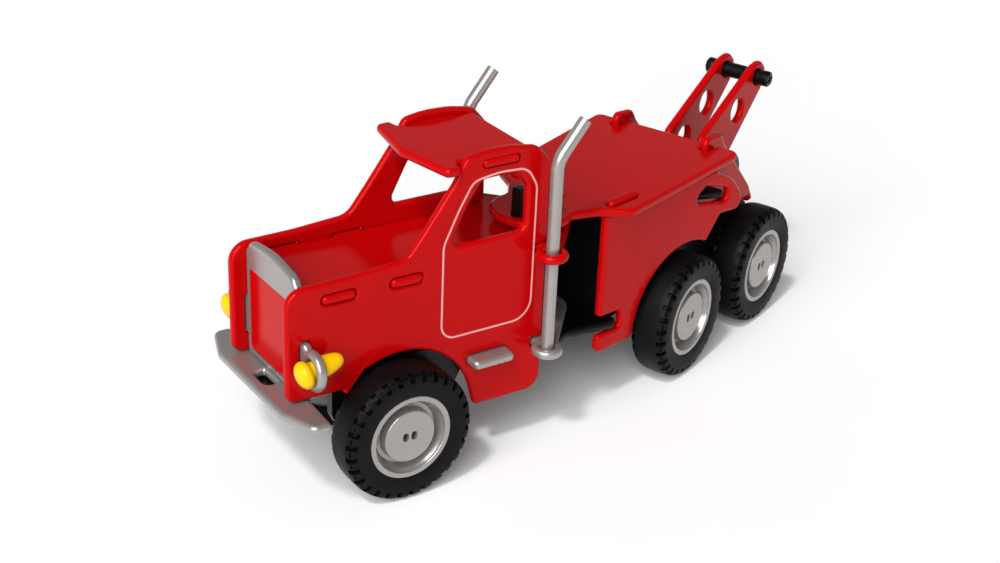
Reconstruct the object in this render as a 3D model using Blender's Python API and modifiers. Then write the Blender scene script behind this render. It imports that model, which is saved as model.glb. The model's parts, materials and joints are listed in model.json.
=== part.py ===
"""Toy tow truck: a slot-together kit of bullnose plates, with a cab and a rear unit
that swings about an upright pin, six wheels on three axles and a tilting tow boom.

Millimetres in the constants, metres in the scene. The nose points to -Y and +Z is up.
"""

import math

import bpy

MM = 0.001

# Where the upright swing pin stands, and how far the rear unit is turned at rest.
PIN_X = 32.9
PIN_Y = -15.7
SWING_DEG = 21.65

# Plates.
THICK = 4.8
EDGE = 1.1
LEAST_R = 1.3
GAP = 0.3

# Wheels.
TYRE_R = 35.3
TYRE_IN = 28.4
TYRE_OUT = 49.6
RIM_R = 24.0
AXLE_R = 2.5
FRONT_AXLE_Y = -110.3
MID_AXLE_B = 79.1
REAR_AXLE_B = 164.9
AXLE_Z = TYRE_R

# Cab.
PANEL_X = 29.1
INNER_X = PANEL_X - THICK / 2 - GAP
HOOD_Z = 111.3
ROOF_Z = 163.3
FLOOR_Z = 58.0
NOSE_Z = 52.7
GRILLE_Y = -158.4
TAB_X = PANEL_X + THICK / 2 + 0.6
STACK_X = 40.9
STACK_Y = -26.1
STACK_R = 3.3
STACK_RING_R = 8.2
LAMP_X = 39.75
LAMP_Z = 81.5
LAMP_RING_R = 10.25
LAMP_HOLE_R = 5.6
LAMP_TILT_DEG = 12.0
HANGER_X = 24.0
BUMPER_HALF = 55.0
PIN_R = 4.0

# Rear unit, in its own frame: N across, B back from the pin.
DECK_Z = 119.4
DECK_HALF = 42.6
DECK_BACK = 121.5
SIDE_N = 29.2
FENDER_N = 28.8
FENDER_B = 7.0
SPLAY_DEG = 8.0
BED_Z = 50.6
CROSS_Z = 99.7
BULKHEAD_B = 19.0
HANGER_N = 24.0
BED_HALF = 21.3

# Tow boom.
ARM_N = 10.5
BOOM_B = 150.0
BOOM_Z = 91.0
BOOM_ROD_R = 4.5
COLLAR_R = 15.5
COLLAR_OUT = 26.2
BOOM_TIP_B = 204.5
BOOM_TIP_Z = 135.5


def clear_scene():
    for obj in list(bpy.data.objects):
        bpy.data.objects.remove(obj, do_unlink=True)


# Finishes: colour, roughness, metallic.
RED = ((0.56, 0.004, 0.008), 0.25, 0.0)
BLACK = ((0.012, 0.012, 0.013), 0.45, 0.0)
SILVER = ((0.55, 0.53, 0.51), 0.35, 0.6)
YELLOW = ((0.95, 0.62, 0.01), 0.25, 0.0)
RUBBER = ((0.02, 0.02, 0.021), 0.7, 0.0)


def material(name, finish):
    colour, rough, metal = finish
    made = bpy.data.materials.new(name)
    made.use_nodes = True
    shader = made.node_tree.nodes["Principled BSDF"]
    shader.inputs["Base Color"].default_value = (*colour, 1.0)
    shader.inputs["Roughness"].default_value = rough
    shader.inputs["Metallic"].default_value = metal
    return made


def arc(cx, cy, radius, start_deg, end_deg, steps):
    """Points of an arc, ends included."""
    points = []
    for i in range(steps + 1):
        a = math.radians(start_deg + (end_deg - start_deg) * i / steps)
        points.append((cx + radius * math.cos(a), cy + radius * math.sin(a)))
    return points


def circle(cx, cy, radius, steps):
    return arc(cx, cy, radius, 0, 360 - 360 / steps, steps - 1)


def rounded(corners, step_deg=38):
    """A closed outline from (x, y, radius) corners, each corner turned into an arc."""
    outline = []
    count = len(corners)
    for i in range(count):
        x, y, r = corners[i]
        px, py = corners[i - 1][:2]
        nx, ny = corners[(i + 1) % count][:2]
        if r <= 0:
            outline.append((x, y))
            continue
        r = max(r, LEAST_R)
        before = math.atan2(py - y, px - x)
        after = math.atan2(ny - y, nx - x)
        inside = (after - before + math.pi) % (2 * math.pi) - math.pi
        half = abs(inside) / 2
        turn = math.pi - 2 * half
        if turn < 0.02:
            outline.append((x, y))
            continue
        room = math.inf
        for neighbour in (corners[i - 1], corners[(i + 1) % count]):
            share = 0.499 if neighbour[2] > 0 else 0.97
            room = min(room, math.hypot(neighbour[0] - x, neighbour[1] - y) * share)
        cut = min(r / math.tan(half), room)
        r = cut * math.tan(half)
        mid = before + inside / 2
        away = r / math.sin(half)
        cx = x + away * math.cos(mid)
        cy = y + away * math.sin(mid)
        steps = max(1, round(math.degrees(turn) / step_deg))
        first = math.atan2(y + cut * math.sin(before) - cy, x + cut * math.cos(before) - cx)
        last = math.atan2(y + cut * math.sin(after) - cy, x + cut * math.cos(after) - cx)
        sweep = (last - first + math.pi) % (2 * math.pi) - math.pi
        outline += arc(cx, cy, r, math.degrees(first), math.degrees(first + sweep), steps)
    return outline


def slot(cx, cy, length, width, turn_deg=0.0):
    """A square-cornered hole for a plate's tab."""
    c = math.cos(math.radians(turn_deg))
    s = math.sin(math.radians(turn_deg))
    half = (length / 2, width / 2)
    corners = []
    for sx, sy in ((-1, -1), (1, -1), (1, 1), (-1, 1)):
        x = sx * half[0]
        y = sy * half[1]
        corners.append((cx + x * c - y * s, cy + x * s + y * c))
    return corners


def mirrored(half):
    """A half outline on the +X side, top to bottom or back, completed on the other side."""
    other = []
    for corner in reversed(half):
        if abs(corner[0]) > 1e-6:
            other.append((-corner[0], *corner[1:]))
    return list(half) + other


def place(obj, parent, finish):
    obj.parent = parent
    obj.data.materials.append(material(obj.name + "_finish", finish))
    PARTS.objects.link(obj)
    return obj


def plate(name, parent, finish, outline, holes=(), thick=THICK, edge=EDGE):
    """A flat plate in local XY, centred on its thickness, with softened edges unless edge is 0."""
    data = bpy.data.curves.new(name, "CURVE")
    data.dimensions = "2D"
    data.fill_mode = "BOTH"
    data.extrude = (thick / 2 - edge) * MM
    data.bevel_depth = edge * MM
    data.bevel_resolution = 0
    data.offset = -edge * MM
    for loop in (outline, *holes):
        spline = data.splines.new("POLY")
        spline.points.add(len(loop) - 1)
        for point, (x, y) in zip(spline.points, loop):
            point.co = (x * MM, y * MM, 0.0, 1.0)
        spline.use_cyclic_u = True
    return place(bpy.data.objects.new(name, data), parent, finish)


def turned(name, parent, finish, profile, steps, closed=False):
    """A profile of (radius, height) points screwed about local Z, outer side from the top down."""
    mesh = bpy.data.meshes.new(name)
    verts = [(radius * MM, 0.0, height * MM) for radius, height in profile]
    edges = [(i, i + 1) for i in range(len(verts) - 1)]
    if closed:
        edges.append((len(verts) - 1, 0))
    mesh.from_pydata(verts, edges, [])
    obj = bpy.data.objects.new(name, mesh)
    screw = obj.modifiers.new("turn", "SCREW")
    screw.axis = "Z"
    screw.steps = steps
    screw.render_steps = steps
    screw.use_merge_vertices = True
    screw.merge_threshold = 0.00001
    screw.use_smooth_shade = True
    return place(obj, parent, finish)


def empty(name, parent, location=(0, 0, 0), rotation=(0, 0, 0)):
    made = bpy.data.objects.new(name, None)
    made.parent = parent
    made.location = [v * MM for v in location]
    made.rotation_euler = rotation
    PARTS.objects.link(made)
    return made


def move(obj, location, rotation=(0, 0, 0)):
    obj.location = [v * MM for v in location]
    obj.rotation_euler = rotation
    return obj


# A plate drawn in (along, up) stands in a plane that faces +X.
UPRIGHT_SIDE = (math.pi / 2, 0, math.pi / 2)
# A plate drawn in (across, up) stands facing -Y.
UPRIGHT_FRONT = (math.pi / 2, 0, 0)


def side_panel_outline():
    notches = []
    for level in (FLOOR_Z, HOOD_Z):
        low = level - THICK / 2 - GAP
        high = level + THICK / 2 + GAP
        notches += [(-22.8, low, 0), (-29.4, low, 0), (-29.4, high, 0), (-22.8, high, 0)]
    corners = [
        (-22.8, 40.0, 0), *notches, (-22.8, 158.0, 6), (-31.0, 167.0, 8), (-46.0, 169.6, 30),
        (-60.0, 169.9, 30), (-72.0, 168.0, 6), (-78.0, 156.0, 10), (-92.0, 137.0, 30),
        (-103.5, 122.2, 10), (-133.6, 120.4, 60), (-168.5, 120.2, 10.5),
        (-168.5, 61.0, 6), (-137.0, 61.0, 4),
    ]
    arch = arc(-107.0, 30.0, 43.0, 136, 12, 8)
    tail = [(-62.5, 30.6, 3), (-22.8, 30.6, 10)]
    return rounded([*corners, *[(y, z, 0) for y, z in arch], *tail][::-1])


def build_cab(root):
    for name, side in (("left", 1), ("right", -1)):
        holes = [
            rounded([
                (-36.3, 122.9, 5), (-36.3, 147.0, 6), (-42.0, 154.8, 7), (-53.0, 155.4, 40),
                (-62.5, 155.0, 5), (-70.0, 144.0, 20), (-80.8, 123.0, 4),
            ][::-1]),
            slot(-140.4, HOOD_Z, 19.0, THICK + 0.6),
            slot(-103.85, HOOD_Z, 18.5, THICK + 0.6),
            slot(-52.3, ROOF_Z - 0.2, 22.4, THICK + 0.6),
            slot(GRILLE_Y, LAMP_Z, THICK + 0.6, 22.0),
            slot(-56.1, FLOOR_Z, 24.4, THICK + 0.6),
        ]
        panel = plate(f"cab_side_{name}", root, RED, side_panel_outline(), holes)
        move(panel, (side * PANEL_X, 0, 0), UPRIGHT_SIDE)

    # Hood plate with its tabs and the upper stack rings.
    half = [
        (0, -155.6, 0), (INNER_X, -155.6, 3), (INNER_X, -149.5, 0), (TAB_X, -149.5, 2),
        (TAB_X, -131.3, 2), (INNER_X, -131.3, 0), (INNER_X, -112.7, 0), (TAB_X, -112.7, 2),
        (TAB_X, -95.0, 2), (INNER_X, -95.0, 0), (INNER_X, -28.9, 0),
    ]
    ring = [(x, y, 0) for x, y in arc(STACK_X, STACK_Y, STACK_RING_R, -160, 104.5, 9)]
    tip = (0, 16.6, 12.4)
    rings = [circle(s * STACK_X, STACK_Y, STACK_R + GAP + 0.1, 12) for s in (1, -1)]
    outline = rounded(mirrored([*half, *ring, tip]))
    pin_hole = circle(0, 0, PIN_R + GAP, 14)
    hood = plate("hood_plate", root, RED, outline, [*rings, pin_hole])
    move(hood, (0, 0, HOOD_Z))

    # Roof plate, wider ahead of the pillars.
    half = [
        (0, -91.0, 12), (34.4, -84.6, 3.4), (34.4, -76.6, 2), (INNER_X, -75.4, 1),
        (INNER_X, -63.1, 0), (TAB_X, -63.1, 2), (TAB_X, -41.6, 2), (INNER_X, -41.6, 0),
        (INNER_X, -32.5, 2), (0, -32.5, 0),
    ]
    move(plate("roof_plate", root, RED, rounded(mirrored(half))), (0, 0, ROOF_Z))

    # Grille shell with the two lamp rings, and its filler.
    half = [(0, 125.8, 60), (22.5, 122.6, 8), (INNER_X, 117.0, 4), (INNER_X, 92.2, 0), (33.0, 92.2, 1)]
    lamp_ring = [(x, z, 0) for x, z in arc(LAMP_X, LAMP_Z, LAMP_RING_R, 118, -118, 10)]
    tail = [(33.0, 70.8, 1), (INNER_X, 70.8, 0), (INNER_X, 60.8, 1), (0, 60.8, 0)]
    lamp_holes = [circle(s * LAMP_X, LAMP_Z, LAMP_HOLE_R, 16) for s in (1, -1)]
    window = rounded([(-23.4, 64.4, 6), (23.4, 64.4, 6), (23.4, 108.8, 2), (-23.4, 108.8, 2)], 30)
    shell = plate(
        "grille_shell", root, SILVER, rounded(mirrored([*half, *lamp_ring, *tail])),
        [*lamp_holes, window],
    )
    move(shell, (0, GRILLE_Y, 0), UPRIGHT_FRONT)
    filler = rounded([(-23.1, 64.7, 5.7), (23.1, 64.7, 5.7), (23.1, 108.5, 1.7), (-23.1, 108.5, 1.7)], 30)
    move(plate("grille_insert", root, RED, filler, thick=4.4, edge=0.6), (0, GRILLE_Y, 0), UPRIGHT_FRONT)

    # Floor plate: bumper, running boards and the lower stack rings in one piece.
    half = [
        (0, -173.6, 0), (34.0, -173.6, 12), (BUMPER_HALF, -166.4, 5),
        (BUMPER_HALF, -156.8, 3), (INNER_X, -155.4, 2), (INNER_X, -142.6, 0),
        (BED_HALF, -142.6, 0), (BED_HALF, -68.0, 0), (39.4, -68.0, 3), (39.4, -44.2, 3),
        (INNER_X, -44.2, 0), (INNER_X, -28.9, 0),
    ]
    hook_hole = rounded([(-7.4, -161.2, 1.2), (7.4, -161.2, 1.2), (7.4, -167.8, 5.5), (-7.4, -167.8, 5.5)][::-1])
    floor = plate(
        "floor_plate", root, SILVER, rounded(mirrored([*half, *ring, tip])),
        [*rings, pin_hole, hook_hole],
    )
    move(floor, (0, 0, FLOOR_Z))

    # Black nose plate under the bumper, with the two front axle hangers.
    half = [
        (13.8, -168.0, 10), (13.8, -146.0, 4), (BED_HALF, -138.0, 4),
        (BED_HALF, -47.0, 5), (0, -44.0, 0),
    ]
    move(plate("nose_plate", root, BLACK, rounded(mirrored(half))), (0, 0, NOSE_Z))
    for name, side in (("left", 1), ("right", -1)):
        outline = rounded([
            (-142.0, 68.0, 3), (-142.0, 42.0, 6), (-122.0, 27.5, 8), (-98.0, 27.5, 8),
            (-74.0, 42.0, 6), (-68.6, 52.0, 6), (-68.6, 68.0, 3),
        ])
        hole = circle(FRONT_AXLE_Y, AXLE_Z, AXLE_R + GAP, 12)
        hanger = plate(f"front_hanger_{name}", root, BLACK, outline, [hole], edge=0)
        move(hanger, (side * HANGER_X, 0, 0), UPRIGHT_SIDE)

    # Lamps point forward through the rings, tipped a little nose down.
    lamp = [
        (0, 10.6), (4.0, 10.0), (6.6, 8.4), (7.6, 6.2), (7.4, 4.8), (5.6, 3.9), (4.6, 3.4),
        (4.6, -3.0), (5.2, -4.8), (3.7, -12.0), (2.0, -13.8), (0, -14.0),
    ]
    for name, side in (("left", 1), ("right", -1)):
        bulb = turned(f"headlight_{name}", root, YELLOW, lamp, 14)
        tilt = math.pi / 2 + math.radians(LAMP_TILT_DEG)
        move(bulb, (side * LAMP_X, GRILLE_Y, LAMP_Z), (tilt, 0, 0))

    # Bent exhaust stacks.
    for name, side in (("left", 1), ("right", -1)):
        data = bpy.data.curves.new(f"exhaust_stack_{name}", "CURVE")
        data.dimensions = "3D"
        data.bevel_depth = STACK_R * MM
        data.bevel_resolution = 2
        data.use_fill_caps = True
        bend = arc(STACK_Y + 14.0, 156.5, 14.0, 180, 143, 4)
        path = [(STACK_Y, 55.8), (STACK_Y, 110.0), *bend, (-11.0, 180.4)]
        spline = data.splines.new("POLY")
        spline.points.add(len(path) - 1)
        for point, (y, z) in zip(spline.points, path):
            point.co = (side * STACK_X * MM, y * MM, z * MM, 1.0)
        place(bpy.data.objects.new(f"exhaust_stack_{name}", data), root, SILVER)

    # Swing pin with a head above the deck and a clip under the bed.
    pin = turned("swing_pin", root, BLACK, [
        (0, DECK_Z + 6.4), (5.6, DECK_Z + 6.2), (6.6, DECK_Z + 5.2), (6.6, DECK_Z + 2.8),
        (PIN_R, DECK_Z + 2.8), (PIN_R, BED_Z - 2.8), (6.0, BED_Z - 2.8), (6.0, BED_Z - 4.6),
        (5.0, BED_Z - 5.6), (0, BED_Z - 5.8),
    ], 14)
    move(pin, (0, 0, 0))


def build_rear(root):
    splay = math.radians(SPLAY_DEG)

    # Deck with the round-nosed tongue over the pin.
    half = [
        (21.9, -36.8, 20), (21.9, -16.5, 0), (20.8, -9.0, 8), (28.0, 2.4, 9),
        (DECK_HALF, 13.4, 8), (44.6, 60.0, 40), (46.8, DECK_BACK, 5), (32.0, DECK_BACK, 1),
        (32.0, 109.4, 1), (26.4, 109.4, 1), (26.4, DECK_BACK, 1), (0, DECK_BACK, 0),
    ]
    tab_start, tab_end = 3.4, 25.5
    tab_middle = (tab_start + tab_end) / 2
    tab_b = FENDER_B + tab_middle * math.cos(splay)
    tab_n = FENDER_N + tab_middle * math.sin(splay)
    length = tab_end - tab_start + 2 * GAP
    holes = [slot(s * tab_n, tab_b, THICK + 0.6, length, -s * SPLAY_DEG) for s in (1, -1)]
    holes.append(circle(0, 0, PIN_R + GAP, 14))
    holes.append(slot(0, -28.2, 7.2, 7.2))
    move(plate("deck_plate", root, RED, rounded(mirrored(half)), holes), (0, 0, DECK_Z))

    # Peg through the tip of the tongue.
    peg = rounded([(-3.2, -3.2, 0.9), (3.2, -3.2, 0.9), (3.2, 3.2, 0.9), (-3.2, 3.2, 0.9)], 45)
    move(plate("tongue_peg", root, BLACK, peg, thick=20.0, edge=0.9), (0, -28.2, 126.4))

    # Splayed outer fenders: along the plate, and up.
    arch = arc(72.8, 36.0, 42.5, 176, 69, 7)
    top = DECK_Z - THICK / 2 - GAP
    outline = [
        (0, top, 0), (0, 58.2, 2.2), (18.6, 56.4, 3), (18.6, 46.4, 3), (0, 46.8, 2),
        (-0.6, 36.0, 5), (29.0, 36.0, 3), *[(s, z, 0) for s, z in arch], (91.2, 74.2, 2.2),
        (102.5, 87.6, 3), (120.5, 85.6, 6), (122.5, 94.5, 8), (113.0, 106.0, 20),
        (97.0, 114.4, 3), (97.0, top, 0),
        (tab_end, top, 0), (tab_end, top + 7.3, 2), (tab_start, top + 7.3, 2), (tab_start, top, 0),
    ]
    ring = rounded([
        (79.4, 100.6, 2.6), (108.0, 93.4, 4.5), (107.8, 102.2, 4), (87.0, 109.4, 6),
        (79.6, 105.0, 4),
    ])
    for name, side in (("left", 1), ("right", -1)):
        fender = plate(f"fender_{name}", root, RED, rounded(outline), [ring])
        turn = math.pi / 2 - side * splay
        move(fender, (side * FENDER_N, FENDER_B, 0), (math.pi / 2, 0, turn))

    # Straight inner sides that carry the boom.
    first = arc(MID_AXLE_B, AXLE_Z, 46.0, 120, 68, 4)
    second = arc(REAR_AXLE_B, AXLE_Z, 38.4, 112, 82, 3)
    outline = [
        (52.0, top, 4), (109.8, top, 0), (110.5, 129.0, 4.5), (128.0, 126.2, 6),
        (133.0, 119.0, 5), (170.6, 81.6, 12), (177.6, 69.9, 3), (171.0, 69.9, 2),
        *[(b, z, 0) for b, z in reversed(second)], (140.0, 84.0, 5), (112.0, 86.0, 12),
        *[(b, z, 0) for b, z in reversed(first)], (52.0, 73.2, 1.5),
    ]
    holes = [slot(101.9, CROSS_Z, 18.0, THICK + 0.6)]
    for name, side in (("left", 1), ("right", -1)):
        panel = plate(f"rear_side_{name}", root, RED, rounded(outline), holes)
        move(panel, (side * SIDE_N, 0, 0), UPRIGHT_SIDE)

    # Bed plate: a tongue under the cab floor, tabs to the fenders, and the axle bed.
    half = [
        (21.9, -36.8, 20), (21.9, -16.5, 0), (20.8, -9.0, 8), (25.6, 1.0, 6),
        (34.0, 17.5, 3), (31.6, 22.4, 2), (26.2, 22.4, 0), (26.2, 52.0, 4), (BED_HALF, 57.0, 3),
        (BED_HALF, 184.0, 8), (0, 184.0, 0),
    ]
    pin_hole = circle(0, 0, PIN_R + GAP, 14)
    bed = plate("bed_plate", root, BLACK, rounded(mirrored(half)), [pin_hole], edge=0)
    move(bed, (0, 0, BED_Z))

    # Cross plate under the deck: its slant-ended tabs show in the fender rings.
    half = [
        (0, 84.0, 0), (SIDE_N - 2.8, 84.0, 2), (SIDE_N - 2.8, 93.2, 0), (35.0, 93.2, 2),
        (46.8, 110.6, 1.4), (SIDE_N - 2.8, 110.6, 0), (SIDE_N - 2.8, 122.0, 3), (0, 122.0, 0),
    ]
    move(plate("cross_plate", root, BLACK, rounded(mirrored(half))), (0, 0, CROSS_Z))

    # Upright bulkhead between the fenders.
    wall = rounded([(-25.8, 53.4, 2), (25.8, 53.4, 2), (25.8, top, 2), (-25.8, top, 2)])
    move(plate("bulkhead", root, BLACK, wall, edge=0), (0, BULKHEAD_B, 0), UPRIGHT_FRONT)

    for name, side in (("left", 1), ("right", -1)):
        outline = rounded([
            (60.0, 92.0, 3), (60.0, 42.0, 6), (72.0, 27.5, 8), (86.0, 27.5, 8),
            (98.0, 42.0, 8), (146.0, 42.0, 8), (158.0, 27.5, 8), (172.0, 27.5, 8),
            (182.0, 40.0, 6), (182.0, 62.0, 6), (170.0, 74.6, 6), (132.0, 74.6, 4),
            (126.0, 92.0, 4),
        ])
        holes = [circle(b, AXLE_Z, AXLE_R + GAP, 12) for b in (MID_AXLE_B, REAR_AXLE_B)]
        hanger = plate(f"rear_hanger_{name}", root, BLACK, outline, holes, edge=0)
        move(hanger, (side * HANGER_N, 0, 0), UPRIGHT_SIDE)

    # Boom pivot rod with a wide collar inside each side.
    rod = turned("boom_pivot_rod", root, BLACK, [
        (0, COLLAR_OUT), (COLLAR_R, COLLAR_OUT), (COLLAR_R, 22.4), (BOOM_ROD_R, 22.4),
        (BOOM_ROD_R, -22.4), (COLLAR_R, -22.4), (COLLAR_R, -COLLAR_OUT), (0, -COLLAR_OUT),
    ], 14)
    move(rod, (0, BOOM_B, BOOM_Z), (0, math.pi / 2, 0))


def build_boom(boom):
    """Boom pieces, measured from the pivot rod."""
    outline = rounded([
        (134.0, 102.5, 12), (141.0, 115.0, 8), (198.5, 143.6, 16), (208.3, 144.8, 8),
        (216.8, 137.2, 8), (211.5, 126.3, 8), (173.7, 92.3, 14), (158.0, 80.0, 12),
        (142.0, 82.0, 14),
    ][::-1])
    outline = [(b - BOOM_B, z - BOOM_Z) for b, z in outline]
    tip = (BOOM_TIP_B - BOOM_B, BOOM_TIP_Z - BOOM_Z)
    holes = [
        circle(0, 0, BOOM_ROD_R + GAP, 14),
        circle(182.2 - BOOM_B, 120.2 - BOOM_Z, 7.0, 14),
        circle(157.6 - BOOM_B, 105.2 - BOOM_Z, 6.8, 14),
        circle(tip[0], tip[1], BOOM_ROD_R + GAP, 14),
    ]
    for name, side in (("left", 1), ("right", -1)):
        arm = plate(f"boom_arm_{name}", boom, RED, outline, holes)
        move(arm, (side * ARM_N, 0, 0), UPRIGHT_SIDE)
    rod = turned("boom_top_rod", boom, BLACK, [
        (0, 20.8), (3.8, 20.6), (BOOM_ROD_R + 0.2, 19.4), (BOOM_ROD_R + 0.2, 17.0),
        (BOOM_ROD_R, 16.0), (BOOM_ROD_R, -16.0), (BOOM_ROD_R + 0.2, -17.0),
        (BOOM_ROD_R + 0.2, -19.4), (3.8, -20.6), (0, -20.8),
    ], 14)
    move(rod, (0, tip[0], tip[1]), (0, math.pi / 2, 0))


def build_axle(name, parent):
    """An axle along X at its parent's origin, with a rim and a tyre at each end."""
    shaft = turned(f"{name}_axle", parent, BLACK, [
        (0, 40.0), (AXLE_R - 0.5, 40.0), (AXLE_R, 39.5), (AXLE_R, -39.5),
        (AXLE_R - 0.5, -40.0), (0, -40.0),
    ], 14)
    move(shaft, (0, 0, 0), (0, math.pi / 2, 0))
    rim_section = [
        (0, 47.6), (13.9, 47.6), (14.2, 43.6), (18.2, 43.6), (20.6, 48.8), (22.6, 48.8),
        (22.6, 29.6), (AXLE_R + GAP, 29.6), (AXLE_R + GAP, 40.4), (0, 40.4),
    ]
    inner = 22.9
    tyre_section = [
        (inner, 48.4), (25.6, TYRE_OUT), (32.2, TYRE_OUT), (TYRE_R, 46.0),
        (TYRE_R, 32.0), (32.2, TYRE_IN), (25.6, TYRE_IN), (inner, 29.6),
    ]
    for side_name, side in (("left", 1), ("right", -1)):
        turn = (0, side * math.pi / 2, 0)
        move(turned(f"{name}_rim_{side_name}", parent, SILVER, rim_section, 20), (0, 0, 0), turn)
        tyre = turned(f"{name}_tyre_{side_name}", parent, RUBBER, tyre_section, 24, closed=True)
        move(tyre, (0, 0, 0), turn)


clear_scene()
PARTS = bpy.data.collections.new("toy_tow_truck")
bpy.context.scene.collection.children.link(PARTS)

cab = empty("cab_frame", None, (PIN_X, PIN_Y, 0))
rear = empty("rear_frame", None, (PIN_X, PIN_Y, 0), (0, 0, math.radians(SWING_DEG)))
boom_pivot = empty("boom_frame", rear, (0, BOOM_B, BOOM_Z))
front_axle = empty("front_axle_frame", cab, (0, FRONT_AXLE_Y, AXLE_Z))
mid_axle = empty("mid_axle_frame", rear, (0, MID_AXLE_B, AXLE_Z))
rear_axle = empty("rear_axle_frame", rear, (0, REAR_AXLE_B, AXLE_Z))

build_cab(cab)
build_rear(rear)
build_boom(boom_pivot)
build_axle("front", front_axle)
build_axle("mid", mid_axle)
build_axle("rear", rear_axle)
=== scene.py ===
# Looks of the toy tow truck: every plate with its rounded edges, treaded tyres, spun rims,
# hollow exhaust stacks, procedural finishes, a pale floor and soft studio light.
# Outlines are in millimetres in the same frames as the CAD: the cab's, the rear unit's turned
# about the swing pin, the boom's at its pivot and one at each axle.

import json
import math

import bmesh
import bpy
from mathutils import Euler, Matrix, Vector


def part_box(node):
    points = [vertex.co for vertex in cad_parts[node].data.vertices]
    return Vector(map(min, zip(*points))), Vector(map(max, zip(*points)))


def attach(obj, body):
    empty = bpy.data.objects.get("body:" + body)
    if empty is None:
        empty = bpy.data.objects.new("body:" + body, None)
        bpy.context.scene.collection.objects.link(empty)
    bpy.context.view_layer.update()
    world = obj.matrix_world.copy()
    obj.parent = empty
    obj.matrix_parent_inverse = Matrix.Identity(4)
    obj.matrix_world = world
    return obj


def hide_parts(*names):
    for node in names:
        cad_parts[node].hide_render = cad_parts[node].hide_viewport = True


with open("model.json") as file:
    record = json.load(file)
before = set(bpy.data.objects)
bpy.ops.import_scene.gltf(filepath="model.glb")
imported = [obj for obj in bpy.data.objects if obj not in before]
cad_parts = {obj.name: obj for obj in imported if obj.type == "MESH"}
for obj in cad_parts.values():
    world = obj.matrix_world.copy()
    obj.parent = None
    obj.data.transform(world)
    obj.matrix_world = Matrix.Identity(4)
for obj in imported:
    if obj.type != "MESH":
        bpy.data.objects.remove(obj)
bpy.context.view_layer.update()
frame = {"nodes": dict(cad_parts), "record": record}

MM = 0.001
RECORD = frame["record"]
JOINTS = {joint["name"]: joint for joint in RECORD["behaviour"]["joints"]}
BODY_OF = {
    node: body for body, nodes in RECORD["behaviour"]["bodies"].items() for node in nodes
}
SLOT_OF = {part["node"]: part["material_slot"] for part in RECORD["subparts"]}

# Plates. Every rounded corner keeps room for the rounded edge, and a tab's slot its clearance.
THICK = 4.8
EDGE = 2.1
LEAST_R = 2.2
SLOT_GAP = 0.15
NOTCH_GAP = 0.2

# Wheels.
TYRE_R = 35.3
TYRE_IN = 28.4
TYRE_OUT = 49.6
TYRE_BEAD_R = 22.6
TYRE_BELT_R = 27.4
LUGS = 30
NOTCH_DEEP = 2.6
SIPE_DEEP = 1.0
AXLE_HOLE_R = 2.8
HUB_HOLE_R = 5.5
HUB_CAP_X = 46.3
HUB_CAP_THICK = 2.6
TURN_STEPS = 72

# Cab, measured from the swing pin.
PANEL_X = 29.1
INNER_X = PANEL_X - THICK / 2 - 0.1
TAB_X = PANEL_X + THICK / 2 + 0.9
CAB_BACK = -22.8
NOTCH_IN = -29.4
DOOR_LINE_HALF = 0.5
STACK_X = 40.9
STACK_Y = -26.1
STACK_R = 3.3
STACK_RING_R = 8.2
LAMP_X = 39.75
LAMP_Z = 81.5
LAMP_RING_R = 10.25
LAMP_HOLE_R = 5.6
LAMP_TILT_DEG = 12.0
GRILLE_OPENING = (0.0, 86.6, 45.0, 44.0)
BUMPER_HALF = 55.0
PIN_R = 4.0
PIN_HOLE_R = 6.6

# Rear unit.
DECK_HALF = 42.6
DECK_BACK = 121.5
BED_HALF = 21.3
SIDE_N = 29.2
FENDER_N = 28.8
FENDER_B = 7.0
SPLAY_DEG = 8.0
SPLAY = math.radians(SPLAY_DEG)
TONGUE = ((21.9, -36.8, 20), (21.9, -16.5, 0), (20.8, -9.0, 8))
FENDER_TAB = (3.4, 25.5)
TAB_RISE = 7.4
PEG_B = -28.2
PEG_HALF = 3.2
PEG_TALL = 20.0

# Tow boom.
ARM_N = 10.5
BOOM_ROD_R = 4.5
BOOM_HOLE_R = 4.8
COLLAR_R = 15.5
COLLAR_IN = 22.4
COLLAR_OUT = 26.2
BOOM_TIP = (54.5, 44.5)
BOOM_ROD_END = 20.8

# Floor and camera.
FLOOR_SIZE = 9.0
CAMERA_FROM_PIN = (0.65738, -0.47807, 0.47491)
CAMERA_AZIMUTH = 55.66
CAMERA_ELEVATION = 26.41
CAMERA_ROLL = 2.54
CAMERA_LENS = 61.47

SIDES = (("left", 1), ("right", -1))
QUARTERS = ((-1, -1), (1, -1), (1, 1), (-1, 1))
UPRIGHT_SIDE = Euler((math.pi / 2, 0, math.pi / 2)).to_matrix().to_4x4()
UPRIGHT_FRONT = Euler((math.pi / 2, 0, 0)).to_matrix().to_4x4()
ALONG_X = Matrix.Rotation(math.pi / 2, 4, "Y")


def height_of(node):
    """The middle height of a level plate, in millimetres."""
    low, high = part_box(node)
    return (low[2] + high[2]) / 2 / MM


def at(x, y, z):
    """A shift by millimetres."""
    return Matrix.Translation((x * MM, y * MM, z * MM))


def joint_frame(name, turn=0.0):
    return Matrix.Translation(JOINTS[name]["pos_m"]) @ Matrix.Rotation(turn, 4, "Z")


def along_rear(frame_matrix):
    """How far back and how high a frame's origin is in the rear unit's frame, in millimetres."""
    origin = REAR.inverted() @ frame_matrix.translation
    return origin.y / MM, origin.z / MM


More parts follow.
